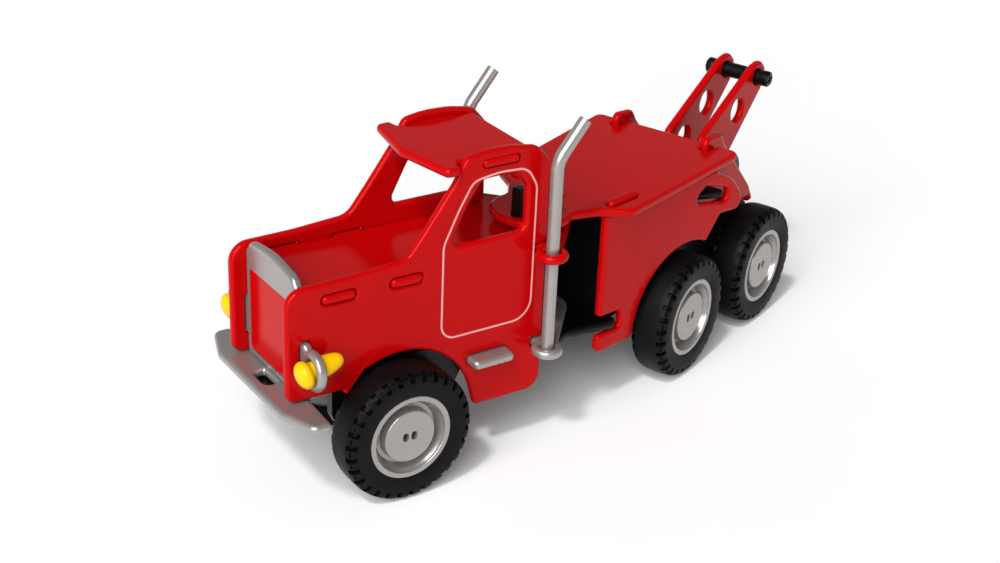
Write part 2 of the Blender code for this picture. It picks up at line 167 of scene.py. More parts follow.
ACROSS = JOINTS["boom_tilt"]["axis"]
SWING = math.atan2(ACROSS[1], ACROSS[0])
PIN = Vector((*JOINTS["swing"]["pos_m"][:2], 0.0))
CAB = Matrix.Translation(PIN)
REAR = CAB @ Matrix.Rotation(SWING, 4, "Z")
BOOM = joint_frame("boom_tilt", SWING)
AXLES = {
    "front": joint_frame("front_axle_spin"),
    "mid": joint_frame("mid_axle_spin", SWING),
    "rear": joint_frame("rear_axle_spin", SWING),
}
HOOD_Z = height_of("hood_plate")
ROOF_Z = height_of("roof_plate")
FLOOR_Z = height_of("floor_plate")
NOSE_Z = height_of("nose_plate")
DECK_Z = height_of("deck_plate")
BED_Z = height_of("bed_plate")
CROSS_Z = height_of("cross_plate")
SIDE_TOP = DECK_Z - THICK / 2 - SLOT_GAP
GRILLE_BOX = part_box("grille_shell")
GRILLE_Y = ((GRILLE_BOX[0][1] + GRILLE_BOX[1][1]) / 2 - PIN.y) / MM


# ---- Finishes -------------------------------------------------------------------------


class Nodes:
    """A small helper for one material's node tree."""

    def __init__(self, name):
        self.material = bpy.data.materials.new(name)
        self.material.use_nodes = True
        self.tree = self.material.node_tree
        self.shader = self.tree.nodes["Principled BSDF"]
        self.where = self.add("ShaderNodeTexCoord").outputs["Object"]

    def add(self, kind, **settings):
        node = self.tree.nodes.new(kind)
        for key, value in settings.items():
            setattr(node, key, value)
        return node

    def link(self, source, target):
        self.tree.links.new(source, target)

    def stretched(self, scale):
        mapping = self.add("ShaderNodeMapping")
        mapping.inputs["Scale"].default_value = scale
        self.link(self.where, mapping.inputs["Vector"])
        return mapping.outputs["Vector"]

    def noise(self, scale, detail=3.0, rough=0.5, vector=None):
        node = self.add("ShaderNodeTexNoise")
        node.inputs["Scale"].default_value = scale
        node.inputs["Detail"].default_value = detail
        node.inputs["Roughness"].default_value = rough
        self.link(vector or self.where, node.inputs["Vector"])
        return node.outputs["Fac"]

    def ramp(self, fac, low, high, first, last):
        """first below low, last above high, both as colours."""
        node = self.add("ShaderNodeValToRGB")
        node.color_ramp.elements[0].position = low
        node.color_ramp.elements[0].color = (*first, 1.0)
        node.color_ramp.elements[1].position = high
        node.color_ramp.elements[1].color = (*last, 1.0)
        self.link(fac, node.inputs["Fac"])
        return node.outputs["Color"]

    def spread(self, fac, low, high, least, most):
        node = self.add("ShaderNodeMapRange")
        for key, value in (
            ("From Min", low), ("From Max", high), ("To Min", least), ("To Max", most)
        ):
            node.inputs[key].default_value = value
        self.link(fac, node.inputs["Value"])
        return node.outputs["Result"]

    def sum(self, first, second):
        node = self.add("ShaderNodeMath", operation="ADD")
        self.link(first, node.inputs[0])
        self.link(second, node.inputs[1])
        return node.outputs["Value"]

    def bump(self, fac, strength, distance, normal=None):
        node = self.add("ShaderNodeBump")
        node.inputs["Strength"].default_value = strength
        node.inputs["Distance"].default_value = distance
        self.link(fac, node.inputs["Height"])
        if normal:
            self.link(normal, node.inputs["Normal"])
        return node.outputs["Normal"]


def shaded(colour, share):
    return tuple(channel * share for channel in colour)


def moulded(name, colour, rough, metal=0.0, shine=0.5, grain=0.06):
    """Moulded plastic: faint mottling, handling marks in the gloss, and a fine surface grain."""
    nodes = Nodes(name)
    mottling = nodes.noise(55.0, 4.0, 0.6)
    tone = nodes.ramp(mottling, 0.3, 0.72, shaded(colour, 0.96), shaded(colour, 1.03))
    nodes.link(tone, nodes.shader.inputs["Base Color"])

    smears = nodes.spread(nodes.noise(30.0, 6.0, 0.65), 0.35, 0.7, rough * 0.9, rough * 1.2)
    hairs = nodes.noise(1.0, 2.0, 0.5, nodes.stretched((1600.0, 45.0, 60.0)))
    scratches = nodes.spread(hairs, 0.66, 0.74, 0.0, 0.02)
    nodes.link(nodes.sum(smears, scratches), nodes.shader.inputs["Roughness"])

    ripple = nodes.bump(nodes.noise(38.0, 1.0), 0.02, 0.002)
    fine = nodes.bump(nodes.noise(900.0, 2.0), grain, 0.0002, ripple)
    nodes.link(fine, nodes.shader.inputs["Normal"])
    nodes.shader.inputs["Metallic"].default_value = metal
    nodes.shader.inputs["Specular IOR Level"].default_value = shine
    return nodes.material


def rubber(name, colour):
    """Matte tyre plastic with dust caught in its grain."""
    nodes = Nodes(name)
    dust = nodes.noise(90.0, 6.0, 0.7)
    tone = nodes.ramp(dust, 0.42, 0.75, shaded(colour, 0.8), shaded(colour, 1.7))
    nodes.link(tone, nodes.shader.inputs["Base Color"])
    worn = nodes.spread(nodes.noise(45.0, 5.0), 0.35, 0.7, 0.42, 0.62)
    nodes.link(worn, nodes.shader.inputs["Roughness"])
    fine = nodes.bump(nodes.noise(1500.0, 3.0), 0.25, 0.0003)
    nodes.link(fine, nodes.shader.inputs["Normal"])
    nodes.shader.inputs["Specular IOR Level"].default_value = 0.12
    return nodes.material


LOOKS = {
    "red": moulded("red_gloss_plastic", (0.41, 0.0008, 0.0014), 0.16, shine=0.09),
    "black": moulded("black_satin_plastic", (0.0022, 0.0022, 0.0024), 0.3, shine=0.2),
    "silver": moulded("silver_satin_paint", (0.34, 0.32, 0.31), 0.28, metal=0.65, grain=0.03),
    "yellow": moulded("yellow_gloss_plastic", (0.76, 0.44, 0.0), 0.18, shine=0.2),
    "tyre": rubber("tyre_plastic", (0.0022, 0.0022, 0.0024)),
}
LINE_LOOK = moulded("door_line_paint", (0.66, 0.32, 0.30), 0.3)


# ---- Outlines -------------------------------------------------------------------------


def arc(cx, cy, radius, start_deg, end_deg, steps):
    """Points of an arc, ends included."""
    points = []
    for i in range(steps + 1):
        a = math.radians(start_deg + (end_deg - start_deg) * i / steps)
        points.append((cx + radius * math.cos(a), cy + radius * math.sin(a)))
    return points


def circle(cx, cy, radius, steps=56):
    return arc(cx, cy, radius, 0, 360 - 360 / steps, steps - 1)


def rounded(corners, step_deg=7.0, least=LEAST_R):
    """A closed outline from (x, y, radius) corners, each corner turned into an arc."""
    outline = []
    count = len(corners)
    for i in range(count):
        x, y, r = corners[i]
        px, py = corners[i - 1][:2]
        nx, ny = corners[(i + 1) % count][:2]
        if r <= 0:
            outline.append((x, y))
            continue
        r = max(r, least)
        before = math.atan2(py - y, px - x)
        after = math.atan2(ny - y, nx - x)
        inside = (after - before + math.pi) % (2 * math.pi) - math.pi
        half = abs(inside) / 2
        turn = math.pi - 2 * half
        if turn < 0.02:
            outline.append((x, y))
            continue
        room = math.inf
        for neighbour in (corners[i - 1], corners[(i + 1) % count]):
            share = 0.499 if neighbour[2] > 0 else 0.97
            room = min(room, math.hypot(neighbour[0] - x, neighbour[1] - y) * share)
        cut = min(r / math.tan(half), room)
        r = cut * math.tan(half)
        mid = before + inside / 2
        away = r / math.sin(half)
        cx = x + away * math.cos(mid)
        cy = y + away * math.sin(mid)
        steps = max(1, round(math.degrees(turn) / step_deg))
        first = math.atan2(y + cut * math.sin(before) - cy, x + cut * math.cos(before) - cx)
        last = math.atan2(y + cut * math.sin(after) - cy, x + cut * math.cos(after) - cx)
        sweep = (last - first + math.pi) % (2 * math.pi) - math.pi
        outline += arc(cx, cy, r, math.degrees(first), math.degrees(first + sweep), steps)
    return outline


def slot(cx, cy, length, width, turn_deg=0.0):
    """A tab's hole: its outline, with small round corners."""
    c = math.cos(math.radians(turn_deg))
    s = math.sin(math.radians(turn_deg))
    corners = []
    for sx, sy in QUARTERS:
        x = sx * (length / 2 + SLOT_GAP)
        y = sy * (width / 2 + SLOT_GAP)
        corners.append((cx + x * c - y * s, cy + x * s + y * c, 2.0))
    return rounded(corners, 22.0)


def mirrored(half):
    """A half outline on the +X side, top to bottom or back, completed on the other side."""
    other = []
    for corner in reversed(half):
        if abs(corner[0]) > 1e-6:
            other.append((-corner[0], *corner[1:]))
    return list(half) + other


def sharp(points):
    return [(x, y, 0) for x, y in points]


# ---- Mesh building --------------------------------------------------------------------


def linked(name, data):
    obj = bpy.data.objects.new(name, data)
    bpy.context.scene.collection.objects.link(obj)
    return obj


def outline_mesh(name, loops, thick, edge, rings):
    """A plate's mesh: loops filled, extruded, and its edges rounded."""
    data = bpy.data.curves.new(name, "CURVE")
    data.dimensions = "2D"
    data.fill_mode = "BOTH"
    data.extrude = (thick / 2 - edge) * MM
    data.bevel_depth = edge * MM
    data.bevel_resolution = rings
    data.offset = -edge * MM
    for loop in loops:
        spline = data.splines.new("POLY")
        spline.points.add(len(loop) - 1)
        for point, (x, y) in zip(spline.points, loop):
            point.co = (x * MM, y * MM, 0.0, 1.0)
        spline.use_cyclic_u = True
    curve = linked(name + "_outline", data)
    mesh = baked(curve)
    welded = bmesh.new()
    welded.from_mesh(mesh)
    bmesh.ops.remove_doubles(welded, verts=welded.verts, dist=2e-6)
    bmesh.ops.recalc_face_normals(welded, faces=welded.faces)
    welded.to_mesh(mesh)
    welded.free()
    return mesh


def baked(obj):
    """The evaluated mesh of obj, which is then removed."""
    graph = bpy.context.evaluated_depsgraph_get()
    mesh = bpy.data.meshes.new_from_object(obj.evaluated_get(graph))
    bpy.data.objects.remove(obj, do_unlink=True)
    return mesh


def smooth(obj, sharp_deg=40.0):
    obj.data.shade_smooth()
    obj.data.set_sharp_from_angle(angle=math.radians(sharp_deg))
    even = obj.modifiers.new("even_normals", "WEIGHTED_NORMAL")
    even.keep_sharp = True
    even.weight = 80
    return obj


def shown(obj, node, place, look=None, stands_for=True):
    """Puts obj at its place on the body of a CAD node, with the node's finish."""
    obj.matrix_world = place
    obj.data.materials.clear()
    obj.data.materials.append(look or LOOKS[SLOT_OF[node]])
    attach(obj, BODY_OF[node])
    if stands_for:
        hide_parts(node)


def plate(node, place, outline, holes=(), slots=(), thick=THICK, edge=EDGE, rings=5):
    mesh = outline_mesh(node, (outline, *holes), thick, edge, rings)
    obj = linked(node + "_fine", mesh)
    if slots:
        cutter = linked(node + "_cutter", outline_mesh(node + "_cut", slots, thick * 1.6, 0.0, 0))
        cut = obj.modifiers.new("tab_slots", "BOOLEAN")
        cut.object = cutter
        bpy.context.view_layer.update()
        obj = linked(node + "_fine_cut", baked(obj))
        bpy.data.objects.remove(cutter, do_unlink=True)
        obj.name = node + "_fine"
    shown(smooth(obj), node, place)


def turned_mesh(name, profile, closed=False):
    """A profile of (radius, height) points screwed about local Z, outer side from the top down."""
    mesh = bpy.data.meshes.new(name)
    edges = [(i, i + 1) for i in range(len(profile) - 1)]
    if closed:
        edges.append((len(profile) - 1, 0))
    mesh.from_pydata([(radius * MM, 0.0, height * MM) for radius, height in profile], edges, [])
    obj = linked(name + "_profile", mesh)
    screw = obj.modifiers.new("turn", "SCREW")
    screw.axis = "Z"
    screw.steps = TURN_STEPS
    screw.render_steps = TURN_STEPS
    screw.use_merge_vertices = True
    screw.merge_threshold = 0.00001
    return baked(obj)


def softened(profile, radius=0.5):
    """A turned profile with its corners rounded, its two ends kept."""
    inner = [(r, h, radius) for r, h in profile[1:-1]]
    return rounded([(*profile[0], 0), *inner, (*profile[-1], 0)], 15.0, least=0.05)


def bulged(profile, steps=6):
    """A smooth curve through the points of a turned profile."""
    points = [Vector(point) for point in profile]
    smooth_points = []
    for i in range(len(points) - 1):
        before = points[max(i - 1, 0)]
        after = points[min(i + 2, len(points) - 1)]
        start, end = points[i], points[i + 1]
        for k in range(steps):
            t = k / steps
            a = (end - before) / 2
            b = (after - start) / 2
            h = (2 * t**3 - 3 * t**2 + 1, t**3 - 2 * t**2 + t, 3 * t**2 - 2 * t**3, t**3 - t**2)
            spot = start * h[0] + a * h[1] + end * h[2] + b * h[3]
            smooth_points.append((max(spot.x, 0.0), spot.y))
    smooth_points.append(tuple(points[-1]))
    return smooth_points


def turned(node, place, profile):
    shown(smooth(linked(node + "_fine", turned_mesh(node, profile))), node, place)


def slab_mesh(x, y, z):
    """A box about its own centre, in millimetres."""
    mesh = bmesh.new()
    bmesh.ops.create_cube(mesh, size=1.0)
    bmesh.ops.scale(mesh, vec=(x * MM, y * MM, z * MM), verts=mesh.verts)
    data = bpy.data.meshes.new("slab")
    mesh.to_mesh(data)
    mesh.free()
    return data


def lofted_mesh(name, rings):
    """Rings of points joined in order, with both ends closed."""
    mesh = bmesh.new()
    made = [[mesh.verts.new(point * MM) for point in ring] for ring in rings]
    count = len(made[0])
    for first, second in zip(made, made[1:]):
        for i in range(count):
            j = (i + 1) % count
            mesh.faces.new((first[i], first[j], second[j], second[i]))
    mesh.faces.new(made[0][::-1])
    mesh.faces.new(made[-1])
    bmesh.ops.recalc_face_normals(mesh, faces=mesh.faces)
    data = bpy.data.meshes.new(name)
    mesh.to_mesh(data)
    mesh.free()
    return data


# ---- Cab ------------------------------------------------------------------------------


def side_panel_outline():
    notches = []
    for level in (FLOOR_Z, HOOD_Z):
        low = level - THICK / 2 - NOTCH_GAP
        high = level + THICK / 2 + NOTCH_GAP
        notches += [
            (CAB_BACK, low, LEAST_R), (NOTCH_IN, low, 0),
            (NOTCH_IN, high, 0), (CAB_BACK, high, LEAST_R),
        ]
    corners = [
        (CAB_BACK, 40.0, 0), *notches, (CAB_BACK, 158.0, 6), (-31.0, 167.0, 8), (-46.0, 169.6, 30),
        (-60.0, 169.9, 30), (-72.0, 168.0, 6), (-78.0, 156.0, 10), (-92.0, 137.0, 30),
        (-103.5, 122.2, 10), (-133.6, 120.4, 60), (-168.5, 120.2, 10.5),
        (-168.5, 61.0, 6), (-137.0, 61.0, 4),
    ]
    arch = arc(-107.0, 30.0, 43.0, 136, 12, 40)
    tail = [(-62.5, 30.6, 3), (CAB_BACK, 30.6, 10)]
    return rounded([*corners, *sharp(arch), *tail][::-1])


def build_door_line(name, side):
    """The thin line printed round the door and its window."""
    path = rounded([
        (-31.3, 74.0, 11), (-31.0, 146.5, 10), (-37.0, 156.8, 9), (-53.0, 157.8, 30),
        (-68.0, 155.8, 8), (-76.0, 142.0, 30), (-84.0, 125.0, 12), (-84.0, 74.0, 8),
    ])
    count = len(path)
    rows = []
    for i in range(count):
        along = Vector(path[(i + 1) % count]) - Vector(path[i - 1])
        away = Vector((-along.y, along.x)).normalized() * DOOR_LINE_HALF
        rows.append((Vector(path[i]) - away, Vector(path[i]) + away))
    mesh = bmesh.new()
    levels = []
    for lift in (-0.2, 0.06):
        level = [[mesh.verts.new((y * MM, z * MM, lift * MM)) for y, z in row] for row in rows]
        levels.append(level)
    low, high = levels
    for i in range(count):
        j = (i + 1) % count
        mesh.faces.new((high[i][0], high[i][1], high[j][1], high[j][0]))
        mesh.faces.new((low[i][1], low[i][0], low[j][0], low[j][1]))
        mesh.faces.new((high[i][0], high[j][0], low[j][0], low[i][0]))
        mesh.faces.new((high[i][1], low[i][1], low[j][1], high[j][1]))
    bmesh.ops.recalc_face_normals(mesh, faces=mesh.faces)
    data = bpy.data.meshes.new("door_line")
    mesh.to_mesh(data)
    mesh.free()
    obj = linked(f"door_line_{name}", data)
    if side < 0:
        for vertex in data.vertices:
            vertex.co.z = -vertex.co.z
        data.flip_normals()
    face = at(side * (PANEL_X + THICK / 2), 0, 0)
    shown(obj, f"cab_side_{name}", CAB @ face @ UPRIGHT_SIDE, LINE_LOOK, stands_for=False)


def stack_mesh(name, side):
    """A bent tube, hollow at its tip."""
    bend = arc(STACK_Y + 14.0, 156.5, 14.0, 180, 143, 12)
    path = [(STACK_Y, 55.8), (STACK_Y, 110.0), (STACK_Y, 150.0), *bend, (-11.0, 180.4)]
    points = [Vector((side * STACK_X, y, z)) for y, z in path]
    rings = []
    across = Vector((1, 0, 0))

    def ring(i, radius, shift=0.0):
        ahead = points[min(i + 1, len(points) - 1)] - points[max(i - 1, 0)]
        ahead.normalize()
        up = ahead.cross(across)
        middle = points[i] + ahead * shift
        return [
            middle + across * radius * math.cos(a) + up * radius * math.sin(a)
            for a in (math.tau * k / 40 for k in range(40))
        ]

    last = len(points) - 1
    rings.append(ring(0, STACK_R - 0.6))
    rings.append(ring(0, STACK_R, 0.5))
    rings += [ring(i, STACK_R) for i in range(1, last)]
    rings.append(ring(last, STACK_R, -0.4))
    rings.append(ring(last, STACK_R - 0.15, -0.1))
    rings.append(ring(last, STACK_R - 0.4))
    rings.append(ring(last, STACK_R - 0.75, -0.1))
    rings.append(ring(last, STACK_R - 0.9, -0.4))
    rings.append(ring(last, STACK_R - 0.95, -14.0))
    return lofted_mesh(name, rings)


def back_of_cab():
    """The rear edge shared by the hood and the floor: the stack's ring, then the pin's tongue."""
    return [*sharp(arc(STACK_X, STACK_Y, STACK_RING_R, -160, 104.5, 40)), (0, 16.6, 12.4)]


def stack_and_pin_holes():
    stack_holes = [circle(s * STACK_X, STACK_Y, STACK_R + 0.3) for s in (1, -1)]
    return [*stack_holes, circle(0, 0, PIN_HOLE_R)]


def build_cab_side(name, side):
    window = rounded([
        (-36.3, 122.9, 5), (-36.3, 147.0, 6), (-42.0, 154.8, 7), (-53.0, 155.4, 40),
        (-62.5, 155.0, 5), (-70.0, 144.0, 20), (-80.8, 123.0, 4),
    ][::-1])
    holes = [
        window, slot(-140.4, HOOD_Z, 18.2, THICK), slot(-103.85, HOOD_Z, 17.7, THICK),
        slot(GRILLE_Y, LAMP_Z, THICK, 21.4), slot(-56.1, FLOOR_Z, 23.8, THICK),
    ]
    roof_slot = slot(-52.35, ROOF_Z, 21.5, THICK)
    place = CAB @ at(side * PANEL_X, 0, 0) @ UPRIGHT_SIDE
    plate(f"cab_side_{name}", place, side_panel_outline(), holes, [roof_slot], edge=1.9)


def build_hood():
    half = [
        (0, -155.6, 0), (INNER_X, -155.6, 3), (INNER_X, -149.5, 0), (TAB_X, -149.5, 3),
        (TAB_X, -131.3, 3), (INNER_X, -131.3, 0), (INNER_X, -112.7, 0), (TAB_X, -112.7, 3),
        (TAB_X, -95.0, 3), (INNER_X, -95.0, 0), (INNER_X, -28.9, 0), *back_of_cab(),
    ]
    place = CAB @ at(0, 0, HOOD_Z)
    plate("hood_plate", place, rounded(mirrored(half)), stack_and_pin_holes())


def build_roof():
    half = [
        (0, -91.0, 12), (34.4, -84.6, 3.4), (34.4, -76.6, 2.4), (INNER_X, -75.4, 1),
        (INNER_X, -63.1, 0), (TAB_X, -63.1, 3), (TAB_X, -41.6, 3), (INNER_X, -41.6, 0),
        (INNER_X, -32.5, 2.4), (0, -32.5, 0),
    ]
    plate("roof_plate", CAB @ at(0, 0, ROOF_Z), rounded(mirrored(half)))


def build_grille():
    """The silver shell with its lamp rings, and the red insert in its opening."""
    upright = CAB @ at(0, GRILLE_Y, 0) @ UPRIGHT_FRONT
    half = [
        (0, 125.8, 60), (22.5, 122.6, 8), (INNER_X, 117.0, 4), (INNER_X, 92.2, 0), (33.0, 92.2, 1),
        *sharp(arc(LAMP_X, LAMP_Z, LAMP_RING_R, 118, -118, 36)),
        (33.0, 70.8, 1), (INNER_X, 70.8, 0), (INNER_X, 60.8, 2.4), (0, 60.8, 0),
    ]
    lamp_holes = [circle(s * LAMP_X, LAMP_Z, LAMP_HOLE_R) for s in (1, -1)]
    opening = slot(*GRILLE_OPENING)
    plate("grille_shell", upright, rounded(mirrored(half)), lamp_holes, [opening])

    _, middle, wide, tall = GRILLE_OPENING
    bottom, top = middle - tall / 2, middle + tall / 2
    filler = rounded([
        (-wide / 2, bottom, 3), (wide / 2, bottom, 3), (wide / 2, top, 2), (-wide / 2, top, 2),
    ], least=0.7)
    plate("grille_insert", upright, filler, thick=4.5, edge=0.6, rings=3)


def build_cab_floor():
    """The bumper, the running boards, the lower stack rings and the floor, in one plate."""
    half = [
        (0, -173.6, 0), (34.0, -173.6, 12), (BUMPER_HALF, -166.4, 5),
        (BUMPER_HALF, -156.8, 3), (INNER_X, -155.4, 2.4), (INNER_X, -142.6, 0),
        (BED_HALF, -142.6, 0), (BED_HALF, -68.0, 0), (39.4, -68.0, 3), (39.4, -44.2, 3),
        (INNER_X, -44.2, 0), (INNER_X, -28.9, 0), *back_of_cab(),
    ]
    hook_hole = rounded([
        (-7.4, -161.2, 1.2), (7.4, -161.2, 1.2), (7.4, -167.8, 5.5), (-7.4, -167.8, 5.5),
    ][::-1], least=1.0)
    holes = [*stack_and_pin_holes(), hook_hole]
    plate("floor_plate", CAB @ at(0, 0, FLOOR_Z), rounded(mirrored(half)), holes, edge=2.0)


def build_nose():
    half = [
        (13.8, -168.0, 10), (13.8, -146.0, 4), (BED_HALF, -138.0, 4),
        (BED_HALF, -47.0, 5), (0, -44.0, 0),
    ]
    plate("nose_plate", CAB @ at(0, 0, NOSE_Z), rounded(mirrored(half)))


def build_headlight(name, side):
    profile = bulged([
        (0, 9.4), (2.6, 9.1), (4.8, 8.2), (6.4, 6.7), (6.9, 5.0), (6.4, 3.4), (5.3, 2.2),
        (4.8, 1.0), (4.7, -2.0), (5.1, -4.4), (5.0, -7.0), (4.4, -10.2), (3.4, -13.2),
        (1.9, -14.9), (0, -15.4),
    ])
    tilt = Matrix.Rotation(math.radians(90 + LAMP_TILT_DEG), 4, "X")
    turned(f"headlight_{name}", CAB @ at(side * LAMP_X, GRILLE_Y, LAMP_Z) @ tilt, profile)


def build_stack(name, side):
    stack = linked(f"exhaust_stack_{name}_fine", stack_mesh(f"stack_{name}", side))
    shown(smooth(stack), f"exhaust_stack_{name}", CAB.copy())


def build_swing_pin():
    turned("swing_pin", CAB.copy(), softened([
        (0, DECK_Z + 6.4), (5.6, DECK_Z + 6.2), (6.6, DECK_Z + 5.2), (6.6, DECK_Z + 2.8),
        (PIN_R, DECK_Z + 2.8), (PIN_R, BED_Z - 2.8), (6.0, BED_Z - 2.8), (6.0, BED_Z - 4.6),
        (5.0, BED_Z - 5.6), (0, BED_Z - 5.8),
    ]))


def build_cab():
    for name, side in SIDES:
        build_cab_side(name, side)
        build_door_line(name, side)
    build_hood()
    build_roof()
    build_grille()
    build_cab_floor()
    build_nose()
    for name, side in SIDES:
        build_headlight(name, side)
        build_stack(name, side)
    build_swing_pin()


# ---- Rear unit ------------------------------------------------------------------------


def build_deck():
    half = [
        *TONGUE, (28.0, 2.4, 9), (DECK_HALF, 13.4, 8), (44.6, 60.0, 40), (46.8, DECK_BACK, 5),
        (32.0, DECK_BACK, 2.3), (32.0, 109.4, 1), (26.4, 109.4, 1), (26.4, DECK_BACK, 2.3),
        (0, DECK_BACK, 0),
    ]
    tab_start, tab_end = FENDER_TAB
    tab_middle = (tab_start + tab_end) / 2
    tab_b = FENDER_B + tab_middle * math.cos(SPLAY)
    tab_n = FENDER_N + tab_middle * math.sin(SPLAY)
    length = tab_end - tab_start
    holes = [slot(s * tab_n, tab_b, THICK, length, -s * SPLAY_DEG) for s in (1, -1)]
    holes.append(slot(0, PEG_B, 2 * PEG_HALF, 2 * PEG_HALF))
    plate("deck_plate", REAR @ at(0, 0, DECK_Z), rounded(mirrored(half)), holes, edge=2.0)


def build_tongue_peg():
    square = rounded([(x * PEG_HALF, y * PEG_HALF, 0.9) for x, y in QUARTERS], least=0.9)
    low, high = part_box("tongue_peg")
    place = REAR @ at(0, PEG_B, (low[2] + high[2]) / 2 / MM)
    plate("tongue_peg", place, square, thick=PEG_TALL, edge=0.9, rings=3)


def build_fender(name, side):
    """A splayed side, cut round the mid wheel, with a hole that shows the cross plate's tab."""
    tab_start, tab_end = FENDER_TAB
    outline = [
        (0, SIDE_TOP, 0), (0, 58.2, 2.2), (18.6, 56.4, 3), (18.6, 46.4, 3), (0, 46.8, 2),
        (-0.6, 36.0, 5), (29.0, 36.0, 3), *sharp(arc(72.8, 36.0, 42.5, 176, 69, 34)),
        (91.2, 74.2, 2.2), (102.5, 87.6, 3), (120.5, 85.6, 6), (122.5, 94.5, 8),
        (113.0, 106.0, 20), (97.0, 114.4, 3), (97.0, SIDE_TOP, 0),
        (tab_end, SIDE_TOP, 0), (tab_end, SIDE_TOP + TAB_RISE, 3),
        (tab_start, SIDE_TOP + TAB_RISE, 3), (tab_start, SIDE_TOP, 0),
    ]
    tab_hole = rounded([
        (79.4, 100.6, 2.6), (108.0, 93.4, 4.5), (107.8, 102.2, 4), (87.0, 109.4, 6),
        (79.6, 105.0, 4),
    ])
    turn = Matrix.Rotation(math.pi / 2 - side * SPLAY, 4, "Z")
    place = REAR @ at(side * FENDER_N, FENDER_B, 0) @ turn @ UPRIGHT_FRONT
    plate(f"fender_{name}", place, rounded(outline), [tab_hole])


def build_rear_side(name, side):
    """An inner side, cut round the mid and the rear wheels."""
    mid_b, mid_z = along_rear(AXLES["mid"])
    rear_b, rear_z = along_rear(AXLES["rear"])
    outline = [
        (52.0, SIDE_TOP, 4), (109.8, SIDE_TOP, 0), (110.5, 129.0, 4.5), (128.0, 126.2, 6),
        (133.0, 119.0, 5), (170.6, 81.6, 12), (177.6, 69.9, 3), (171.0, 69.9, 2),
        *sharp(arc(rear_b, rear_z, 38.4, 82, 112, 14)), (140.0, 84.0, 5), (112.0, 86.0, 12),
        *sharp(arc(mid_b, mid_z, 46.0, 68, 120, 20)), (52.0, 73.2, 2),
    ]
    place = REAR @ at(side * SIDE_N, 0, 0) @ UPRIGHT_SIDE
    plate(f"rear_side_{name}", place, rounded(outline), (), [slot(101.9, CROSS_Z, 17.4, THICK)])


def build_bed():
    half = [
        *TONGUE, (25.6, 1.0, 6), (34.0, 17.5, 3), (31.6, 22.4, 2), (26.2, 22.4, 0),
        (26.2, 52.0, 4), (BED_HALF, 57.0, 3), (BED_HALF, 184.0, 8), (0, 184.0, 0),
    ]
    plate("bed_plate", REAR @ at(0, 0, BED_Z), rounded(mirrored(half)))


def build_cross():
    inner = SIDE_N - 2.8
    half = [
        (0, 84.0, 0), (inner, 84.0, 3), (inner, 93.2, 0), (35.0, 93.2, 2.4),
        (46.8, 110.6, 1), (inner, 110.6, 0), (inner, 122.0, 3), (0, 122.0, 0),
    ]
    plate("cross_plate", REAR @ at(0, 0, CROSS_Z), rounded(mirrored(half)))


def build_rear():
    build_deck()
    build_tongue_peg()
    for name, side in SIDES:
        build_fender(name, side)
    for name, side in SIDES:
        build_rear_side(name, side)
    build_bed()
    build_cross()


# ---- Tow boom -------------------------------------------------------------------------


def build_pivot_rod():
    turned("boom_pivot_rod", BOOM @ ALONG_X, softened([
        (0, COLLAR_OUT), (COLLAR_R, COLLAR_OUT), (COLLAR_R, COLLAR_IN), (BOOM_ROD_R, COLLAR_IN),
        (BOOM_ROD_R, -COLLAR_IN), (COLLAR_R, -COLLAR_IN), (COLLAR_R, -COLLAR_OUT),
        (0, -COLLAR_OUT),
    ]))


def build_arm(name, side):
    pivot_b, pivot_z = along_rear(BOOM)
    corners = [
        (134.0, 102.5, 12), (141.0, 115.0, 8), (198.5, 143.6, 16), (208.3, 144.8, 8),
        (216.8, 137.2, 8), (211.5, 126.3, 8), (173.7, 92.3, 14), (158.0, 80.0, 12),
        (142.0, 82.0, 14),
    ]
    outline = rounded([(b - pivot_b, z - pivot_z, r) for b, z, r in corners[::-1]])
    holes = [
        circle(0, 0, BOOM_HOLE_R),
        circle(182.2 - pivot_b, 120.2 - pivot_z, 7.0),
        circle(157.6 - pivot_b, 105.2 - pivot_z, 6.8),
        circle(*BOOM_TIP, BOOM_HOLE_R),
    ]
    place = BOOM @ at(side * ARM_N, 0, 0) @ UPRIGHT_SIDE
    plate(f"boom_arm_{name}", place, outline, holes)


def slit_across(rod, end, turn_deg):
    """The rod with a slit cut across one of its ends."""
    cutter = linked("snap_slit", slab_mesh(1.3, 14.0, 6.4))
    turned_by = Matrix.Rotation(math.radians(turn_deg), 4, "Z")
    cutter.matrix_world = turned_by @ at(0, 0, end * BOOM_ROD_END)
    cut = rod.modifiers.new("slit", "BOOLEAN")
    cut.object = cutter
    bpy.context.view_layer.update()
    slit = linked("boom_top_rod_slit", baked(rod))
    bpy.data.objects.remove(cutter, do_unlink=True)
    return slit


def build_top_rod():
    """The rod through the arms' tips, its two snap ends slit crosswise."""
    half = [
        (0, BOOM_ROD_END), (3.9, BOOM_ROD_END), (4.7, 20.0), (4.7, 17.0), (BOOM_ROD_R, 16.2),
        (BOOM_ROD_R, 0.0),
    ]
    full = softened([*half, *[(r, -h) for r, h in reversed(half[:-1])]])
    rod = linked("boom_top_rod_round", turned_mesh("boom_top_rod", full))
    for turn_deg in (20, 110):
        for end in (1, -1):
            rod = slit_across(rod, end, turn_deg)
    rod.name = "boom_top_rod_fine"
    shown(smooth(rod), "boom_top_rod", BOOM @ at(0, *BOOM_TIP) @ ALONG_X)


def build_boom():
    build_pivot_rod()
    for name, side in SIDES:
        build_arm(name, side)
    build_top_rod()


# ---- Wheels ---------------------------------------------------------------------------


